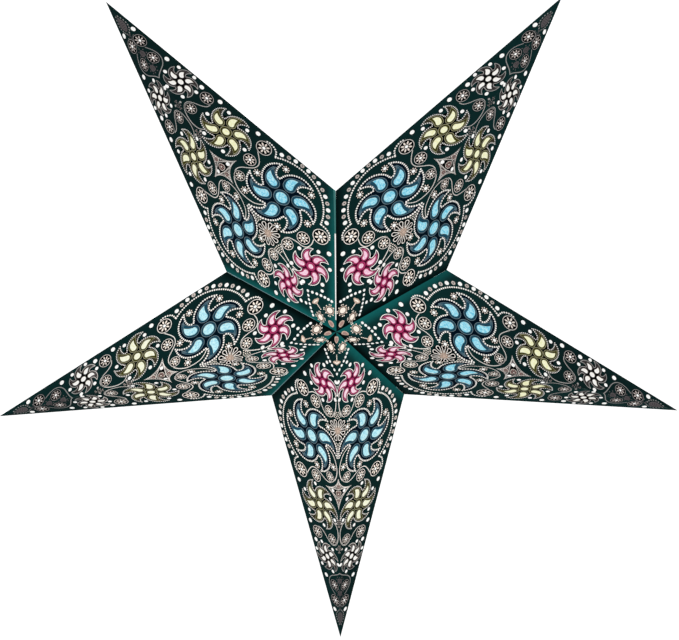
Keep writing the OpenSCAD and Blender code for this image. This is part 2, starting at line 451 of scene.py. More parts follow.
def drawDaisy():
    d = daisy
    at = d["at"]
    step = 360 / d["loops"]
    paint("black", disc(at, d["backing"], 24))
    for k in range(d["loops"]):
        paint("line", tear(at, step / 2 + step * k, *d["loop"]))
        paint("black", tear(at, step / 2 + step * k, *d["hollow"]))
    paint("tan", disc(at, d["heart"], 20))
    rays, rayLine = d["rays"]
    cuts, cutLine = d["cuts"]
    for k in range(d["loops"]):
        paint("tan", stroke([polar(at, r, step * k) for r in rays], rayLine))
        paint("mauveDeep", stroke([polar(at, r, step / 2 + step * k) for r in cuts], cutLine))
    for side in (-1, 1):
        for column, rows in enumerate(d["heap"]):
            for v in rows:
                u = at[0] + side * (d["heapAt"] + d["heapStep"] * column)
                paint("petal", disc((u, v), d["bead"], 8))


# four-armed lozenge over the ridge, its sides drawn in: outlines and rows of beads in shares of its reach,
# the stems, eyes and beads of its two ends, and its heart
lozenge = {
    "at": (153.4, 0), "reach": 16.2, "drawnIn": 0.15, "fine": 12,
    "outlines": (("black", 1.06), ("line", 1.0), ("black", 0.935)),
    "rows": (("bead", 0.845, 0.42, 1.5), ("mauve", 0.72, 0.4, 1.4)),
    "stem": ((4.3, -1), (4.3, 1.6), (3.4, 3.9), (2.9, 6.4), (1.9, 9.0), (0.7, 11.6)), "stemLine": 0.55,
    "eye": 7.2, "eyeRings": (("petal", 2.4, 0.4, 14), ("rose", 1.6, 0.5, 12)), "eyeHeart": 0.7,
    "sprays": (((11.4, 0.3), (9.9, 1.1), (8.2, 2.9)), ((5.3, 3.0), (4.2, 4.6), (3.6, 7.2))),
    "sprayBeads": (0.42, 1.4), "heartRing": (3.2, 0.4), "heartPetals": (1.85, 0.7, 0.5), "heart": 0.75,
    "dotAt": 7.0, "dot": 1.7,
}


def lozengeSide(scale):
    z = lozenge
    middle, reach, fine = z["at"], z["reach"] * scale, z["fine"]
    line = []
    for sign, steps in ((1, range(fine)), (-1, range(fine, 0, -1))):
        for i in steps:
            t = i / fine
            x = (1 - t) ** 2 + 2 * t * (1 - t) * z["drawnIn"]
            y = t * t + 2 * t * (1 - t) * z["drawnIn"]
            line.append((middle[0] + sign * reach * x, middle[1] + reach * y))
    return line + [(middle[0] - reach, middle[1])]


def drawLozenge():
    z = lozenge
    at = z["at"]
    for ink, scale in z["outlines"]:
        reach = z["reach"] * scale
        paint(ink, lozengeSide(scale) + [(at[0] - reach, -1), (at[0] + reach, -1)])
    for ink, scale, r, gap in z["rows"]:
        beads(ink, lozengeSide(scale), r, gap)
    for side in (-1, 1):
        def sided(points):
            return flowing([(at[0] + side * u, v) for u, v in points], 5)
        eye = (at[0] + side * z["eye"], 0)
        paint("line", stroke(sided(z["stem"]), z["stemLine"]))
        for ink, r, width, sides in z["eyeRings"]:
            ring(ink, "black", eye, r, width, sides)
        paint("mauve", disc(eye, z["eyeHeart"], 8))
        for spray in z["sprays"]:
            beads("mauve", sided(spray), *z["sprayBeads"])
    ring("petal", "black", at, *z["heartRing"], 16)
    ovalRing("rose", at, *z["heartPetals"])
    paint("petal", disc(at, z["heart"], 8))
    paint("dot", disc((at[0], z["dotAt"]), z["dot"], 12))


# along the ridge: small clusters of beads, striped ovals ringed with beads, and the striped leaf near the tip
ridgePrint = {
    "clusters": (184.6, 212.5, 277.0), "clusterBead": 0.7, "clusterDot": ((1.5, 3.6), 1.0),
    "cluster": ((-2.1, 0), (0, 0), (2.1, 0), (-1, 1.8), (1, 1.8), (-3.6, 0.9), (3.6, 0.9)),
    "ovals": (248.0, 262.0), "oval": (3.0, 2.9), "ovalStripe": 0.28, "ovalStripeEnd": (2.4, 0.3),
    "ovalBead": 0.62, "ovalBeads": ((-4.4, 0), (4.4, 0), (0, 4.3), (-3.2, 2.9), (3.2, 2.9)),
    "leaf": [(283, 0), (286, 2.4), (290, 3.3), (294, 2.4), (297.4, 0)],
    "leafStripes": (6, 285.4, 1.9), "leafStripe": 0.25, "leafStripeEnd": (2.2, 0.06),
    "leafStripeLean": 0.3, "leafMiddle": 290,
    "leafRim": [(282.2, 1.6), (285.6, 3.9), (290, 4.8), (294.4, 3.7), (298.2, 1.2)],
    "leafRimStep": 2.6, "leafRimOval": (0.85, 0.5),
}


def drawRidge():
    p = ridgePrint
    for u in p["clusters"]:
        for du, v in p["cluster"]:
            paint("mauve", disc((u + du, v), p["clusterBead"], 6))
        (du, v), r = p["clusterDot"]
        paint("line", disc((u + du, v), r, 8))
    high, fall = p["ovalStripeEnd"]
    for u in p["ovals"]:
        paint("mauve", oval((u, 0), *p["oval"], 0, 12))
        for i in range(-2, 3):
            paint("black", stroke([(u + i, -1), (u + i, 1), (u + i, high - fall * i * i)], p["ovalStripe"]))
        for du, v in p["ovalBeads"]:
            paint("mauve", disc((u + du, v), p["ovalBead"], 6))
    leaf = p["leaf"]
    paint("mauve", flowing(leaf, 5) + [(leaf[-1][0], -1), (leaf[0][0], -1)])
    count, first, step = p["leafStripes"]
    high, fall = p["leafStripeEnd"]
    for i in range(count):
        u = first + step * i
        end = (u + p["leafStripeLean"], high - fall * (u - p["leafMiddle"]) ** 2)
        paint("black", stroke([(u, -1), (u, 1), end], p["leafStripe"]))
    for at in evenSteps(flowing(p["leafRim"]), p["leafRimStep"]):
        paint("line", oval(at, *p["leafRimOval"], 0, 8))


# beaded garland under the blue flower, ending in loops under two rosettes, and the row of dots outside it,
# every other one a small bloom
garland = {
    "reach": 37.1, "turns": (152, 31), "steps": 40, "beads": (0.84, 2.2, 8),
    "loops": ([(65.2, 47.8), (68.5, 51), (73.5, 51.6), (78.4, 50.2)],
              [(144.6, 52.4), (148, 55.6), (153, 56.4), (157.6, 55), (159.4, 52)]),
    "dots": 13, "dotReach": 41.2, "dotsFrom": 145.5, "dotsSpan": 106, "dot": 2.0,
    "bloomBeads": (1.25, 0.4), "bloomEye": 0.6,
}


def drawGarland(f):
    g = garland
    arc = [polar(f["at"], g["reach"], a) for a in np.linspace(*g["turns"], g["steps"])]
    for line in [arc] + [flowing(points) for points in g["loops"]]:
        beads("bead", line, *g["beads"])
    reach, r = g["bloomBeads"]
    for i in range(g["dots"]):
        at = polar(f["at"], g["dotReach"], g["dotsFrom"] - g["dotsSpan"] * i / (g["dots"] - 1))
        paint("dot" if i % 2 == 0 else "mauve", disc(at, g["dot"], 12))
        if i % 2:
            paint("line", *[disc(polar(at, reach, turn), r, 6) for turn in sixTurns])
            paint("mauveDeep", disc(at, g["bloomEye"], 8))


# white dots along the outer edge
edgeDots = {"radius": 2.1, "places": [
    (55.2, 39.1), (167.5, 51.0), (203.4, 37.4), (220.1, 30.4), (251.7, 17.6), (284.2, 6.9)]}
# strips beside the valley: where they start and end along it and how wide they are there. The wide pale ones
# show on the seam between the two upper points, the hairlines on two other valleys. They are the sheet's pale
# edge with a painted highlight along it, on the seam also painted light coming through it
valleyStrips = {
    "seamPale": (10.0, 88.0, 0.75, 1.15),
    "seam": (88.0, 140.0, 1.15, 2.3),
    "hairPale": (24.0, 88.0, 0.4, 0.62),
    "hair": (88.0, 140.0, 0.62, 0.66),
}


def drawValleyStrips():
    for name, (start, end, wideAtStart, wideAtEnd) in valleyStrips.items():
        first, last = Vector(startUv) + start * valleyWay, Vector(startUv) + end * valleyWay
        strip = [first, first + wideAtStart * valleySide, last + wideAtEnd * valleySide, last]
        paint(name, [tuple(p) for p in strip])


# what is drawn later covers what is under it
drawValleyStrips()
drawPeak()
drawDaisy()
drawRidge()
drawLozenge()
drawGarland(flowers["blue"])
for points in scrolls:
    scroll(points)
for u, v, r in rosettes:
    rosette((u, v), r)
drawBlue(flowers["blue"])
drawYellow(flowers["yellow"])
drawWhite(flowers["white"])
drawPink(flowers["pink"])
spots(edgeDots["places"], edgeDots["radius"])
print("print drawn,", len(artwork), "shapes")


def counterClockwise(shape):
    area = sum(a[0] * b[1] - b[0] * a[1] for a, b in zip(shape, shape[1:] + shape[:1]))
    return shape if area > 0 else shape[::-1]


# cuts the half face along every drawn outline; the last shape painted wins
def cutFace():
    shapes = [[startUv, tipUv, cornerUv]] + [shape for _, shape in artwork]
    places, loops = [], []
    for shape in shapes:
        loops.append(list(range(len(places), len(places) + len(shape))))
        places += [Vector(p) for p in counterClockwise(shape)]
    points, _, faces, _, _, inside = delaunay_2d_cdt(places, [], loops, 1, close["print"])
    points = np.array([tuple(p) for p in points])
    kept, inks = [], []
    for face, within in zip(faces, inside):
        if 0 not in within:
            continue
        ink = artwork[max(within) - 1][0] if max(within) else "ground"
        if ink != "open":
            kept.append(face)
            inks.append(ink)
    used, kept = np.unique(np.array(kept), return_inverse=True)
    return points[used], kept.reshape(-1, 3), inks


# outline and holes as loops of point numbers, walked round the free edges
def freeLoops(faces):
    edges = {(int(f[i]), int(f[(i + 1) % 3])) for f in faces for i in range(3)}
    follow = {a: b for a, b in edges if (b, a) not in edges}
    loops = []
    while follow:
        start, at = next(iter(follow.items()))
        loop = [start]
        del follow[start]
        while at != start:
            loop.append(at)
            at = follow.pop(at)
        loops.append(loop)
    return loops


facePoints, faceTriangles, faceInks = cutFace()
onRidge = facePoints[:, 1] < close["fold"]
onEdge = np.array([edgeDistance(u, v) < close["fold"] for u, v in facePoints])
loops = freeLoops(faceTriangles)
loops.sort(key=lambda loop: -np.ptp(facePoints[loop][:, 0]))  # the outline first, then the openings
print("face cut into", len(faceTriangles), "pieces with", len(loops) - 1, "openings")


# ways down to the inner side of the sheet along the two folds, where it is mitred
ridgeMitre = Vector((0, inwardDir.y, inwardDir.z)).normalized()
ridgeMitre = ridgeMitre - ridgeMitre.dot(ridgeDir) * ridgeDir
edgeMitre = Vector((inwardDir.x, 0, inwardDir.z))
edgeMitre = edgeMitre - edgeMitre.dot(edgeDir) * edgeDir


def outerPlace(u, v):
    return peak + ridgeDir * u + acrossDir * v


def innerPlace(u, v, depth):
    p = outerPlace(u, v)
    ridge, edge = v < close["fold"], edgeDistance(u, v) < close["fold"]
    if ridge and edge:
        return p + Vector((0, 0, depth / inwardDir.z))
    if ridge:
        return p + ridgeMitre * (depth / ridgeMitre.dot(inwardDir))
    if edge:
        return p + edgeMitre * (depth / edgeMitre.dot(inwardDir))
    return p + depth * inwardDir


# one half face as a closed sheet: printed side, back side, walls of the openings and the glue flap
def buildHalfFace():
    depth = star["sheetThickness"]
    places = [outerPlace(u, v) for u, v in facePoints]
    at = [(u, v) for u, v in facePoints]
    sides = [0] * len(places)
    faces = [(int(a), int(c), int(b)) for a, b, c in faceTriangles]
    inks = list(faceInks)
    corners = [i for i in loops[0] if not (onRidge[i] or onEdge[i])]
    folds = {i for i in range(len(facePoints)) if onRidge[i] or onEdge[i]}
    ends = {i for i in folds if min(
        (Vector(facePoints[i]) - Vector(c)).length for c in (startUv, tipUv, cornerUv)) < close["fold"]}
    outer = [i for i in loops[0] if i in ends or i in corners]
    rims = [outer] + loops[1:]
    numbers = [i for loop in rims for i in loop]
    order, run = [], 0
    for loop in rims:
        ids = list(range(run, run + len(loop)))
        run += len(loop)
        order.append(ids if loop is outer else ids[::-1])
    points, _, backFaces, original, _, inside = delaunay_2d_cdt(
        [Vector(facePoints[i]) for i in numbers], [], order, 1, close["back"])
    innerOf = {}
    for k, (p, sources) in enumerate(zip(points, original)):
        places.append(innerPlace(p.x, p.y, depth))
        at.append((p.x, p.y))
        sides.append(1)
        for source in sources:
            innerOf[numbers[source]] = len(facePoints) + k
    for face, within in zip(backFaces, inside):
        if list(within) == [0]:
            faces.append(tuple(len(facePoints) + i for i in face))
            inks.append("raw")
    for loop in rims:
        for a, b in zip(loop, loop[1:] + loop[:1]):
            if a in folds and b in folds:
                continue
            faces += [(a, b, innerOf[b]), (a, innerOf[b], innerOf[a])]
            # walls of the outline, in the gap where the points meet, are inked black: painted shade in that
            # gap
            inks += ["black" if loop is outer else "raw"] * 2
    addFlap(places, at, sides, faces, inks)
    return np.array([tuple(p) for p in places]), np.array(at), np.array(sides), np.array(faces), inks


flapUv = (20.0, 8.0)  # one plain place on the face stands for the whole flap


def addFlap(places, at, sides, faces, inks):
    way = Vector((star["cornerReach"], star["peakHeight"])).normalized()
    long = math.hypot(star["cornerReach"], star["peakHeight"])
    turnedIn = Vector((-way.y, way.x))
    first = Vector((0, -star["peakHeight"])) + star["flapClear"] * way
    last = Vector((0, -star["peakHeight"])) + (long - star["flapClear"]) * way
    wide = star["flapWidth"]
    flat = [first + star["flapTuck"] * turnedIn, last + star["flapTuck"] * turnedIn,
            last + wide * (turnedIn - way), first + wide * (turnedIn + way)]
    base = len(places)
    for lift in (film, film + star["sheetThickness"]):
        for p in flat:
            places.append(p.x * radial + Vector((0, p.y, 0)) + lift * awayFromSeam)
            at.append(flapUv)
            sides.append(1)
    quads = [(0, 1, 2, 3), (7, 6, 5, 4), (0, 4, 5, 1), (1, 5, 6, 2), (2, 6, 7, 3), (3, 7, 4, 0)]
    for a, b, c, d in quads:
        faces += [(base + a, base + b, base + c), (base + a, base + c, base + d)]
        # the flap is inked black: painted shade where it shows through the seam's gap
        inks += ["black"] * 2


halfFace = buildHalfFace()
print("half face built,", len(halfFace[3]), "triangles")


# colours are written as they look on screen, 0 to 255
def ink(r, g, b):
    return tuple(((c / 255 + 0.055) / 1.055) ** 2.4 if c > 10 else c / 3295 for c in (r, g, b)) + (1.0,)


def newGroup(name, inputs):
    group = bpy.data.node_groups.new(name, "ShaderNodeTree")
    for label, value in inputs.items():
        kind = "NodeSocketColor" if isinstance(value, tuple) else "NodeSocketFloat"
        group.interface.new_socket(label, in_out="INPUT", socket_type=kind).default_value = value
    for label in ("Color", "Body"):
        group.interface.new_socket(label, in_out="OUTPUT", socket_type="NodeSocketColor")
    for label in ("Roughness", "Height"):
        group.interface.new_socket(label, in_out="OUTPUT", socket_type="NodeSocketFloat")
    return group, group.nodes.new("NodeGroupInput"), group.nodes.new("NodeGroupOutput")


# places a node and sets its sockets and links in one go; i0, i1 and so on are sockets by number
def node(tree, kind, settings=None, **sockets):
    made = tree.nodes.new(kind)
    for name, value in (settings or {}).items():
        setattr(made, name, value)
    for name, value in sockets.items():
        socket = made.inputs[int(name[1:])] if name[0] == "i" and name[1:].isdigit() else made.inputs[name]
        if isinstance(value, bpy.types.NodeSocket):
            tree.links.new(value, socket)
        else:
            socket.default_value = value
    return made


def math2(tree, operation, a, b):
    return node(tree, "ShaderNodeMath", {"operation": operation}, i0=a, i1=b).outputs[0]


def plus(tree, a, b):
    return math2(tree, "ADD", a, b)


def times(tree, a, b):
    return math2(tree, "MULTIPLY", a, b)


def vectorMath(tree, operation, a, **more):
    return node(tree, "ShaderNodeVectorMath", {"operation": operation}, i0=a, **more)


def ramp(tree, value, low, high, start=0.0, end=1.0):
    return node(tree, "ShaderNodeMapRange", {"interpolation_type": "SMOOTHSTEP"},
                i0=value, i1=low, i2=high, i3=start, i4=end).outputs[0]


def mixColour(tree, amount, a, b, blend="MIX"):
    settings = {"data_type": "RGBA", "blend_type": blend}
    return node(tree, "ShaderNodeMix", settings, i0=amount, i6=a, i7=b).outputs[2]


def grey(tree, value):
    return node(tree, "ShaderNodeCombineColor", None, i0=value, i1=value, i2=value).outputs[0]


def noise(tree, place, scale, detail, roughness):
    return node(tree, "ShaderNodeTexNoise", None, Vector=place, Scale=scale, Detail=detail,
                Roughness=roughness).outputs["Fac"]


# colour that the paper itself sends back under the lamps; the rest of its brightness is emission, a painted
# glow that stands in for light coming through it from a lamp inside, which the scene does not have
def bodyColour(group, colour, into):
    return mixColour(group, 1.0, colour, grey(group, into.outputs["Body"]), "MULTIPLY")


# painted light on the lower left points, lightening their ink and tissue, none of it out at their tips: place
# on that slope where it starts and is full, and reach from the middle where it starts to go and is gone, in m
lowerLeftLight = {"way": (-1, 0, -1), "slope": (-0.07, 0.08), "reach": (0.19, 0.235), "ink": 0.5, "tissue": 0.34}


def lowerLeftLitShare(group, place, reach):
    slope = vectorMath(group, "DOT_PRODUCT", place, i1=lowerLeftLight["way"]).outputs["Value"]
    share = ramp(group, slope, *lowerLeftLight["slope"])
    return times(group, share, ramp(group, reach, *lowerLeftLight["reach"], 1.0, 0.0))


def reachFromMiddle(group, place):
    flat = vectorMath(group, "MULTIPLY", place, i1=(1, 0, 1)).outputs[0]
    return vectorMath(group, "LENGTH", flat).outputs["Value"]


# printed paper: noises as scale, detail and roughness; where the near colour is full and how the cover sways
# its reach, in m; width of the painted light and shade beside the valley and of the worn and highlighted
# folds, in mm; shares of fibres and blotches
printGrain = {
    "cover": (38, 4, 0.6), "fibres": (1500, 3, 0.7), "blotch": (240, 4, 0.65), "wear": (170, 5, 0.7),
    "full": 0.02, "coverSway": 0.02, "valley": (0.5, 9.5), "fold": 0.9, "wornFrom": (0.5, 0.72),
    "foldWearAndHighlight": ink(120, 140, 135), "tone": (0.34, 0.4, 0.63), "height": (0.5, 0.6), "rough": (0.25, 0.42),
}


# ink with a painted glow, from the near colour in the middle to the far one, dimmer, at the tips, with
# painted light and shade beside the valleys, painted light on the lower left points, fibres, a blotchy cover
# and folds lightened by scuffing and a painted highlight
def makePrintedPaper():
    group, into, out = newGroup("printedPaper", {
        "Near": (1, 1, 1, 1), "Far": (1, 1, 1, 1), "Reach": 0.27, "At Valley": 1.0, "Away": 1.0, "Body": 1.0,
        "Scuff And Fold Highlight": 0.0, "Lower Left Light": lowerLeftLight["ink"]})
    grain = printGrain
    place = node(group, "ShaderNodeTexCoord").outputs["Object"]
    reach = reachFromMiddle(group, place)
    cover = noise(group, place, *grain["cover"])
    swayed = plus(group, reach, times(group, cover, grain["coverSway"]))
    paintedLightShare = ramp(group, swayed, into.outputs["Reach"], grain["full"])
    lowerLeftLit = times(group, lowerLeftLitShare(group, place, reach), into.outputs["Lower Left Light"])
    paintedLightShare = math2(group, "MINIMUM", plus(group, paintedLightShare, lowerLeftLit), 1.0)
    faceAt = node(group, "ShaderNodeAttribute", {"attribute_name": "faceAt"}).outputs["Vector"]
    at = node(group, "ShaderNodeSeparateXYZ", None, Vector=faceAt)
    # share of the near colour beside the valley: painted light on ground, painted shade on groundValleyShade
    share = ramp(group, at.outputs["X"], *grain["valley"], into.outputs["At Valley"], into.outputs["Away"])
    colour = mixColour(group, times(group, paintedLightShare, share), into.outputs["Far"], into.outputs["Near"])
    fibres = noise(group, place, *grain["fibres"])
    blotch = noise(group, place, *grain["blotch"])
    fibreTone, blotchTone, plainTone = grain["tone"]
    tone = plus(group, times(group, fibres, fibreTone), times(group, blotch, blotchTone))
    colour = mixColour(group, 1.0, colour, grey(group, plus(group, tone, plainTone)), "MULTIPLY")
    # folds lightened towards a pale colour: partly scuffed ink, partly a painted highlight where the fold
    # turns
    fold = math2(group, "MINIMUM", at.outputs["Y"], at.outputs["Z"])
    wear = ramp(group, noise(group, place, *grain["wear"]), *grain["wornFrom"])
    foldWearAndHighlight = times(group, ramp(group, fold, grain["fold"], 0.0), wear)
    colour = mixColour(group, times(group, foldWearAndHighlight, into.outputs["Scuff And Fold Highlight"]), colour, grain["foldWearAndHighlight"])
    fibreHeight, blotchHeight = grain["height"]
    height = plus(group, times(group, fibres, fibreHeight), times(group, blotch, blotchHeight))
    blotchRough, plainRough = grain["rough"]
    group.links.new(colour, out.inputs["Color"])
    group.links.new(bodyColour(group, colour, into), out.inputs["Body"])
    group.links.new(plus(group, times(group, blotch, blotchRough), plainRough), out.inputs["Roughness"])
    group.links.new(height, out.inputs["Height"])
    return group


# tissue: soft clouds, crinkled creases and loose fibres; noises as scale, detail and roughness
tissueGrain = {
    "clouds": (560, 4, 0.7), "cloudFrom": (0.36, 0.62), "crinkle": 520.0, "creaseWidth": 0.2,
    "threads": (1900, 2, 0.6), "threadStretch": (1, 1, 0.25), "threadFrom": (0.45, 0.7),
    "cloudShare": 0.72, "threadShare": 0.3, "crease": (0.35, 0.65), "threadHeight": 0.6, "rough": (0.2, 0.65),
}


def makeTissue():
    group, into, out = newGroup("tissuePaper", {"Pale": (1, 1, 1, 1), "Deep": (1, 1, 1, 1), "Body": 1.0})
    grain = tissueGrain
    place = node(group, "ShaderNodeTexCoord").outputs["Object"]
    clouds = noise(group, place, *grain["clouds"])
    crinkle = node(group, "ShaderNodeTexVoronoi", {"feature": "DISTANCE_TO_EDGE"}, Vector=place,
                   Scale=grain["crinkle"])
    crease = ramp(group, crinkle.outputs["Distance"], 0.0, grain["creaseWidth"])
    stretched = vectorMath(group, "MULTIPLY", place, i1=grain["threadStretch"]).outputs[0]
    threads = ramp(group, noise(group, stretched, *grain["threads"]), *grain["threadFrom"])
    cloudy = times(group, ramp(group, clouds, *grain["cloudFrom"]), grain["cloudShare"])
    amount = plus(group, cloudy, times(group, threads, grain["threadShare"]))
    creaseShare, plainShare = grain["crease"]
    amount = times(group, amount, plus(group, times(group, crease, creaseShare), plainShare))
    # painted light on the lower left points
    lowerLeftLit = times(group, lowerLeftLitShare(group, place, reachFromMiddle(group, place)), lowerLeftLight["tissue"])
    colour = mixColour(group, plus(group, amount, lowerLeftLit), into.outputs["Deep"], into.outputs["Pale"])
    cloudRough, plainRough = grain["rough"]
    height = plus(group, crease, times(group, threads, grain["threadHeight"]))
    group.links.new(colour, out.inputs["Color"])
    group.links.new(bodyColour(group, colour, into), out.inputs["Body"])
    group.links.new(plus(group, times(group, clouds, cloudRough), plainRough), out.inputs["Roughness"])
    group.links.new(height, out.inputs["Height"])
    return group


printedPaper = makePrintedPaper()
tissuePaper = makeTissue()

# inks of the printed sheet: near colour, towards the middle, and far colour, towards the tips, their change a
# painted glow that dims out to the tips; then share of light let through, given as painted glow, and share
# sent back. The near colour of the two grounds shows beside the valley, painted light on ground and painted
# shade on groundValleyShade
inks = {
    "ground": (ink(22, 102, 100), ink(14, 35, 35), 0.5, 0.5),
    "groundValleyShade": (ink(4, 14, 14), ink(14, 41, 41), 0.55, 0.45),
    "line": (ink(255, 248, 240), ink(138, 136, 135), 0.86, 0.2),
    "bead": (ink(255, 250, 243), ink(222, 219, 217), 0.86, 0.2),
    "petal": (ink(255, 243, 229), ink(190, 180, 175), 0.86, 0.2),
    "dot": (ink(254, 254, 251), ink(250, 250, 248), 0.84, 0.2),
    "black": (ink(7, 12, 12), ink(3, 6, 7), 0.0, 1.0),
    "mauve": (ink(204, 190, 182), ink(92, 87, 89), 0.5, 0.45),
    "mauveDeep": (ink(70, 62, 58), ink(46, 41, 40), 0.3, 0.7),
    "tan": (ink(216, 190, 172), ink(170, 150, 138), 0.6, 0.4),
    "rose": (ink(186, 146, 138), ink(170, 134, 130), 0.5, 0.45),
    "magenta": (ink(184, 58, 108), ink(170, 50, 100), 0.45, 0.55),
    "magentaDeep": (ink(74, 16, 42), ink(66, 14, 38), 0.3, 0.7),
    "magentaPale": (ink(186, 128, 150), ink(176, 118, 140), 0.4, 0.6),
    "pinkLine": (ink(255, 248, 244), ink(250, 240, 236), 0.86, 0.2),
    "navy": (ink(3, 22, 36), ink(2, 18, 30), 0.0, 1.0),
    "blueLine": (ink(124, 148, 158), ink(108, 134, 144), 0.4, 0.6),
    "blueDeep": (ink(36, 82, 102), ink(30, 72, 92), 0.4, 0.6),
    "olive": (ink(176, 172, 138), ink(166, 162, 128), 0.42, 0.6),
    "oliveDeep": (ink(76, 74, 30), ink(70, 68, 28), 0.35, 0.65),
    "oliveDim": (ink(66, 62, 49), ink(56, 53, 42), 0.3, 0.7),
    # strips by the valleys: painted highlight on the sheet's edge, on the seam also painted light through it
    "seam": (ink(78, 138, 134), ink(62, 120, 118), 0.35, 0.65),
    "seamPale": (ink(255, 253, 249), ink(254, 250, 243), 0.95, 0.1),
    "hair": (ink(120, 156, 160), ink(90, 124, 128), 0.5, 0.5),
    "raw": (ink(228, 224, 212), ink(214, 210, 198), 0.1, 0.9),
}
inkNames = list(inks)
# dark inks: how far the near colour reaches in m, its share at the valley and away from it, scuffing and
# painted highlight at the folds, and how much painted light they get on the lower left points
grounds = {
    "ground": {"Reach": 0.2, "At Valley": 1.0, "Away": 0.15, "Scuff And Fold Highlight": 0.4, "Lower Left Light": 0.12},
    "groundValleyShade": {"Reach": 0.32, "At Valley": 1.0, "Away": 0.0, "Scuff And Fold Highlight": 0.4, "Lower Left Light": 0.0},
    "black": {"Scuff And Fold Highlight": 0.3},
}
# tissues: pale and deep colour of the clouds, share of painted glow (emission in place of light let through
# from a lamp inside), share sent back
tissues = {
    "pink": (ink(255, 236, 246), ink(242, 178, 207), 0.86, 0.2),
    "blue": (ink(210, 251, 255), ink(94, 194, 225), 0.84, 0.2),
    "yellow": (ink(254, 254, 236), ink(239, 239, 182), 0.82, 0.2),
    "white": (ink(254, 253, 251), ink(244, 241, 236), 0.82, 0.2),
}
# matt finish of both papers; depth of their grain in m
finish = {"bump": 0.35, "inkDepth": 0.00008, "tissueDepth": 0.00012, "specular": 0.002}


def paperMaterial(name, group, values, paintedGlow, bumpDepth):
    material = bpy.data.materials.new(name)
    material.use_nodes = True
    tree = material.node_tree
    shader = tree.nodes["Principled BSDF"]
    paper = tree.nodes.new("ShaderNodeGroup")
    paper.node_tree = group
    for label, value in values.items():
        paper.inputs[label].default_value = value
    bump = node(tree, "ShaderNodeBump", None, Strength=finish["bump"], Distance=bumpDepth,
                Height=paper.outputs["Height"])
    tree.links.new(paper.outputs["Body"], shader.inputs["Base Color"])
    tree.links.new(paper.outputs["Color"], shader.inputs["Emission Color"])
    tree.links.new(paper.outputs["Roughness"], shader.inputs["Roughness"])
    tree.links.new(bump.outputs["Normal"], shader.inputs["Normal"])
    # emission strength: painted glow, as if a lamp shone inside the star
    shader.inputs["Emission Strength"].default_value = paintedGlow
    shader.inputs["Specular IOR Level"].default_value = finish["specular"]
    return material


inkMaterials, tissueMaterials = [], {}
for name, (near, far, paintedGlow, body) in inks.items():
    values = {"Near": near, "Far": far, "Body": body, **grounds.get(name, {})}
    inkMaterials.append(paperMaterial(name + "Ink", printedPaper, values, paintedGlow, finish["inkDepth"]))
for name, (pale, deep, paintedGlow, body) in tissues.items():
    values = {"Pale": pale, "Deep": deep, "Body": body}
    tissueMaterials[name] = paperMaterial(name + "Tissue", tissuePaper, values, paintedGlow, finish["tissueDepth"])
print("papers mixed,", len(inkMaterials) + len(tissueMaterials), "materials")


# what shows beside the valley on the right (1) and left (-1) half of each point, seen with its tip up:
# ground, lighter there as painted light, groundValleyShade, darker there as painted shade, and which strips
valleyLooks = {
    "upper_left": {1: ("ground", "seam"), -1: ("ground", "hair")},
    "upper_right": {1: ("groundValleyShade", ""), -1: ("groundValleyShade", "")},
    "lower_right": {1: ("groundValleyShade", ""), -1: ("ground", "")},
    "lower": {1: ("groundValleyShade", ""), -1: ("ground", "")},
    "lower_left": {1: ("groundValleyShade", ""), -1: ("ground", "hair")},
}


def shownInk(name, ground, strip):
    if name in valleyStrips:
        if strip == "seam":
            return name.replace("hair", "seam")
        name = "hair" if strip and name.startswith(strip) else "ground"
    return ground if name == "ground" else name


# flat layout of a point for baking, in mm on a square: half faces in rows, inner sides small beside them
bakeLayout = {"square": 360, "margin": 2.0, "rowStep": 88, "innerAt": (230.0, 62.0), "innerSize": 0.24}


def bakePlaces(at, sides, row):
    b = bakeLayout
    inner = (sides == 1)[:, None]
    size = np.where(inner, b["innerSize"], 1.0)
    start = np.array([[b["margin"], b["margin"] + b["rowStep"] * row]])
    shift = np.where(inner, 1, 0) * np.array([b["innerAt"]]) + start
    return (at * size + shift) / b["square"]


# four mirrored half faces make a point
def buildPoint(name, turn, looks):
    places, at, sides, faces, names = halfFace
    apart = [(valleyDistance(u, v), v, edgeDistance(u, v)) for u, v in at]
    allPlaces, allFaces, allInks, allMaps = [], [], [], []
    mirrors = [(x, y) for x in (1, -1) for y in (1, -1)]
    for row, (mirrorX, mirrorY) in enumerate(mirrors):
        allPlaces.append(places * (mirrorX, mirrorY, 1))
        turned = faces if mirrorX * mirrorY > 0 else faces[:, ::-1]
        allFaces.append(turned + row * len(places))
        allInks += [inkNames.index(shownInk(n, *looks[mirrorX])) for n in names]
        allMaps.append(bakePlaces(at, sides, row))
    places, faces = np.concatenate(allPlaces), np.concatenate(allFaces)
    apart = np.concatenate([apart] * len(mirrors))
    uv = np.concatenate(allMaps)[faces.ravel()]
    _, first, same = np.unique(np.round(places, 4), axis=0, return_index=True, return_inverse=True)
    faces = same.reshape(-1)[faces]
    a = math.radians(turn)
    c, s = math.cos(a), math.sin(a)
    x, y, z = places[first].T
    turned = np.stack([x * c + z * s, y, z * c - x * s], axis=1) * mm
    mesh = bpy.data.meshes.new(name)
    mesh.from_pydata(turned.tolist(), [], faces.tolist())
    for material in inkMaterials:
        mesh.materials.append(material)
    mesh.polygons.foreach_set("material_index", np.array(allInks, np.int32))
    kept = mesh.attributes.new("faceAt", "FLOAT_VECTOR", "POINT")
    kept.data.foreach_set("vector", apart[first].astype(np.float32).ravel())
    mesh.uv_layers.new(name="OFBake").data.foreach_set("uv", uv.astype(np.float32).ravel())
    mesh.validate()
    piece = bpy.data.objects.new(name, mesh)
    bpy.context.scene.collection.objects.link(piece)
    return piece


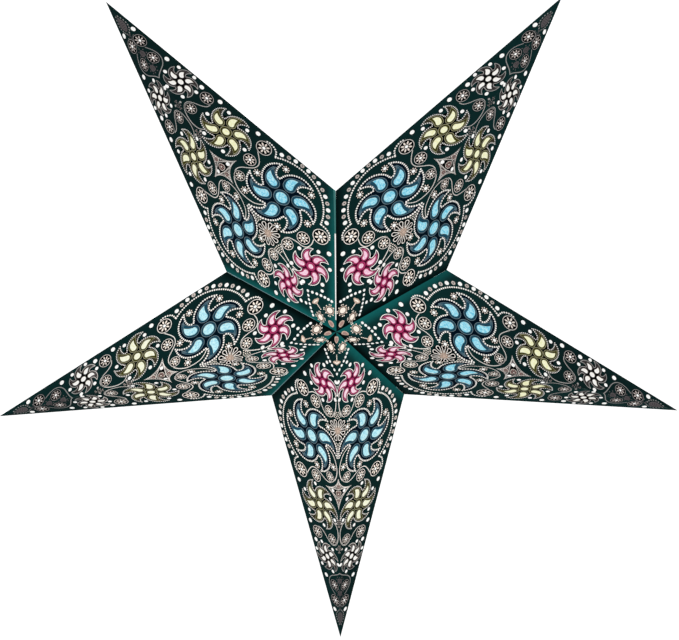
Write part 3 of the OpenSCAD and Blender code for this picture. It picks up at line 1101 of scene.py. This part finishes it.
for side, turn in pointTurns.items():
    point = buildPoint(side + "_printed_sheet", turn, valleyLooks[side])
    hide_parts(side + "_sheet")
    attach(point, "root")
    for colour, material in tissueMaterials.items():
        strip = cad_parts[side + "_" + colour + "_tissue"]
        for i in range(len(strip.material_slots)):
            strip.material_slots[i].material = material
    print("point folded:", side, len(point.data.polygons), "triangles")

# sweep: a pale floor well under the hanging star, curving up behind it, in m; its colour and added white
sweep = {"floor": -0.62, "back": 2.2, "front": -3.2, "half": 3.5, "curve": 0.9, "top": 3.2, "fine": 12,
         "colour": (0.86, 0.86, 0.86, 1), "rough": 0.9, "white": 0.8}


# 1 where the background itself is seen, also in a shine or through something clear
def seenDirectly(tree):
    seen = node(tree, "ShaderNodeLightPath")
    direct = math2(tree, "MAXIMUM", seen.outputs["Is Camera Ray"], seen.outputs["Is Glossy Ray"])
    return math2(tree, "MAXIMUM", direct, seen.outputs["Is Transmission Ray"])


def buildSweep():
    line = [(sweep["front"], sweep["floor"]), (sweep["back"] - sweep["curve"], sweep["floor"])]
    for i in range(1, sweep["fine"] + 1):
        a = math.pi / 2 * i / sweep["fine"]
        line.append((sweep["back"] - sweep["curve"] * (1 - math.sin(a)),
                     sweep["floor"] + sweep["curve"] * (1 - math.cos(a))))
    line.append((sweep["back"], sweep["top"]))
    places = [(x, y, z) for y, z in line for x in (-sweep["half"], sweep["half"])]
    faces = [(2 * i, 2 * i + 1, 2 * i + 3, 2 * i + 2) for i in range(len(line) - 1)]
    mesh = bpy.data.meshes.new("studio_sweep")
    mesh.from_pydata(places, [], faces)
    mesh.polygons.foreach_set("use_smooth", [True] * len(faces))
    piece = bpy.data.objects.new("studio_sweep", mesh)
    bpy.context.scene.collection.objects.link(piece)
    material = bpy.data.materials.new("sweepPaper")
    material.use_nodes = True
    tree = material.node_tree
    shader = tree.nodes["Principled BSDF"]
    shader.inputs["Base Color"].default_value = sweep["colour"]
    shader.inputs["Roughness"].default_value = sweep["rough"]
    strength = times(tree, seenDirectly(tree), sweep["white"])
    white = node(tree, "ShaderNodeEmission", None, Color=(1, 1, 1, 1), Strength=strength)
    # added to the lit floor, so that the shadow stays
    both = node(tree, "ShaderNodeAddShader", None, i0=shader.outputs[0], i1=white.outputs[0])
    tree.links.new(both.outputs[0], tree.nodes["Material Output"].inputs["Surface"])
    mesh.materials.append(material)
    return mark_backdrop(piece)


buildSweep()

# soft light from above the front, a weak fill from the left and an even room
lights = {
    "keyLight": {"at": (0.7, -1.9, 1.2), "size": 1.2, "power": 24},
    "fillLight": {"at": (-1.7, -1.2, 0.2), "size": 1.6, "power": 10},
}
roomLight = {"onTheStar": 0.2, "seen": 1.0}
for name, light in lights.items():
    softLight = bpy.data.lights.new(name, "AREA")
    softLight.size, softLight.energy = light["size"], light["power"]
    holder = bpy.data.objects.new(name, softLight)
    holder.location = light["at"]
    holder.rotation_euler = (-Vector(light["at"])).to_track_quat("-Z", "Y").to_euler()
    bpy.context.scene.collection.objects.link(holder)

room = bpy.data.worlds.new("room")
room.use_nodes = True
tree = room.node_tree
background = tree.nodes["Background"]
background.inputs["Color"].default_value = (1, 1, 1, 1)
strength = node(tree, "ShaderNodeMapRange", None, i0=seenDirectly(tree), i3=roomLight["onTheStar"],
                i4=roomLight["seen"])
tree.links.new(strength.outputs[0], background.inputs["Strength"])
bpy.context.scene.world = room

# camera at the photograph's viewing angle: lean, roll and turn in degrees, distance and offset of the middle
# in tip reaches, focal length and picture width in pixels, sensor width in mm, nearest and farthest in m
view = {"tilt": (13.28, -0.51, -0.26), "distance": 3.08, "offset": (-0.007, 0.039), "focal": 1123.6,
        "width": 679, "sensor": 36.0, "clip": (0.05, 50)}
turnToView = Euler([math.radians(a) for a in view["tilt"]], "XYZ").to_matrix()
middle = Vector((view["offset"][0], view["distance"], view["offset"][1])) * (star["tipReach"] * mm)
right, forward, up = turnToView[0], turnToView[1], turnToView[2]
place = turnToView.transposed() @ -middle
lens = bpy.data.cameras.new("photoCamera")
lens.sensor_fit, lens.sensor_width = "HORIZONTAL", view["sensor"]
lens.lens = view["sensor"] * view["focal"] / view["width"]
lens.clip_start, lens.clip_end = view["clip"]
camera = bpy.data.objects.new("photoCamera", lens)
camera.matrix_world = Matrix((
    (right.x, up.x, -forward.x, place.x),
    (right.y, up.y, -forward.y, place.y),
    (right.z, up.z, -forward.z, place.z),
    (0, 0, 0, 1)))
bpy.context.scene.collection.objects.link(camera)
bpy.context.scene.camera = camera
bpy.context.scene.view_settings.view_transform = "Standard"
print("stage, lights and camera set")
